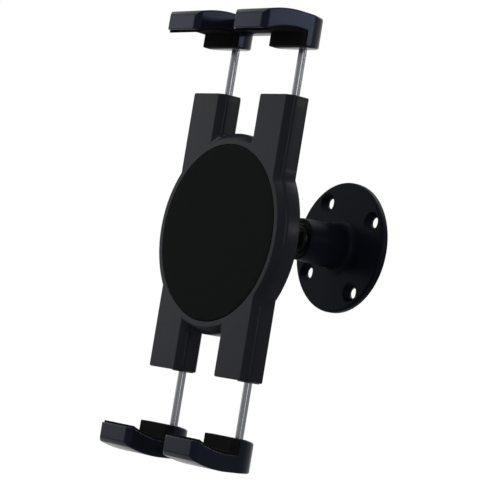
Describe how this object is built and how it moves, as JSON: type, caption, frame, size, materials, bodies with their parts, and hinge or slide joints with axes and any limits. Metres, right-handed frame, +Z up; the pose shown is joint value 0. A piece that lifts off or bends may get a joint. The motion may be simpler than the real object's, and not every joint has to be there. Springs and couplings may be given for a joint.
{
  "type": "tablet wall mount",
  "caption": "Wall mount that holds a tablet between sprung claws on steel rods, with a round pad behind it and a ball joint on a screwed wall flange.",
  "frame": {"origin": "centre of the flange's back face, on the wall", "axes": "+Y into the wall, +Z up along the claws' travel; the holder stands out along -Y"},
  "size_m": [0.0868, 0.0902, 0.1931],
  "materials": {
    "body_plastic": "satin dark grey moulding",
    "claw_plastic": "satin blue-grey moulding",
    "pad_rubber": "matt black sheet",
    "liner_rubber": "matt black",
    "rod_steel": "bright drawn rod",
    "base_metal": "semi-gloss black paint on a zinc casting",
    "ball_steel": "glossy black oxide",
    "joint_plastic": "slippery black plastic",
    "spring_steel": "spring steel",
    "zinc_steel": "zinc plated"
  },
  "bodies": {
    "wall_base": {"wall_base": "base_metal", "seat_cup": "joint_plastic", "spring_washers": "spring_steel", "back_plug": "base_metal"},
    "ball_liner": {"ball_liner": "joint_plastic"},
    "ball_stud": {"ball_stud": "ball_steel", "stud_washer": "zinc_steel", "stud_nut": "zinc_steel"},
    "holder": {"front_housing": "body_plastic", "rear_housing": "body_plastic", "front_pad": "pad_rubber", "housing_screws": "zinc_steel", "upper_left_rod_bush": "joint_plastic", "upper_right_rod_bush": "joint_plastic", "lower_left_rod_bush": "joint_plastic", "lower_right_rod_bush": "joint_plastic", "upper_left_spring": "spring_steel", "upper_right_spring": "spring_steel", "lower_left_spring": "spring_steel", "lower_right_spring": "spring_steel"},
    "upper_claw": {"upper_claw": "claw_plastic", "upper_claw_screws": "zinc_steel", "upper_left_rod": "rod_steel", "upper_right_rod": "rod_steel", "upper_left_rod_stop": "zinc_steel", "upper_right_rod_stop": "zinc_steel", "upper_left_liner": "liner_rubber", "upper_right_liner": "liner_rubber"},
    "lower_claw": {"lower_claw": "claw_plastic", "lower_claw_screws": "zinc_steel", "lower_left_rod": "rod_steel", "lower_right_rod": "rod_steel", "lower_left_rod_stop": "zinc_steel", "lower_right_rod_stop": "zinc_steel", "lower_left_liner": "liner_rubber", "lower_right_liner": "liner_rubber"}
  },
  "joints": [
    {"name": "ball_pan", "type": "hinge", "parent": "wall_base", "child": "ball_liner", "pos_m": [0, -0.0232, 0], "axis": [0, 0, 1], "range_deg": [-24, 24]},
    {"name": "ball_tilt", "type": "hinge", "parent": "ball_liner", "child": "ball_stud", "pos_m": [0, -0.0232, 0], "axis": [1, 0, 0], "range_deg": [-24, 24]},
    {"name": "holder_spin", "type": "hinge", "parent": "ball_stud", "child": "holder", "pos_m": [0, -0.0232, 0], "axis": [0, 1, 0], "continuous": true},
    {"name": "upper_claw_slide", "type": "slide", "parent": "holder", "child": "upper_claw", "axis": [0, 0, 1], "range_m": [-0.02, 0.024], "deforming": ["upper_left_spring", "upper_right_spring"]},
    {"name": "lower_claw_slide", "type": "slide", "parent": "holder", "child": "lower_claw", "axis": [0, 0, -1], "range_m": [-0.0231, 0.0209], "deforming": ["lower_left_spring", "lower_right_spring"]}
  ]
}
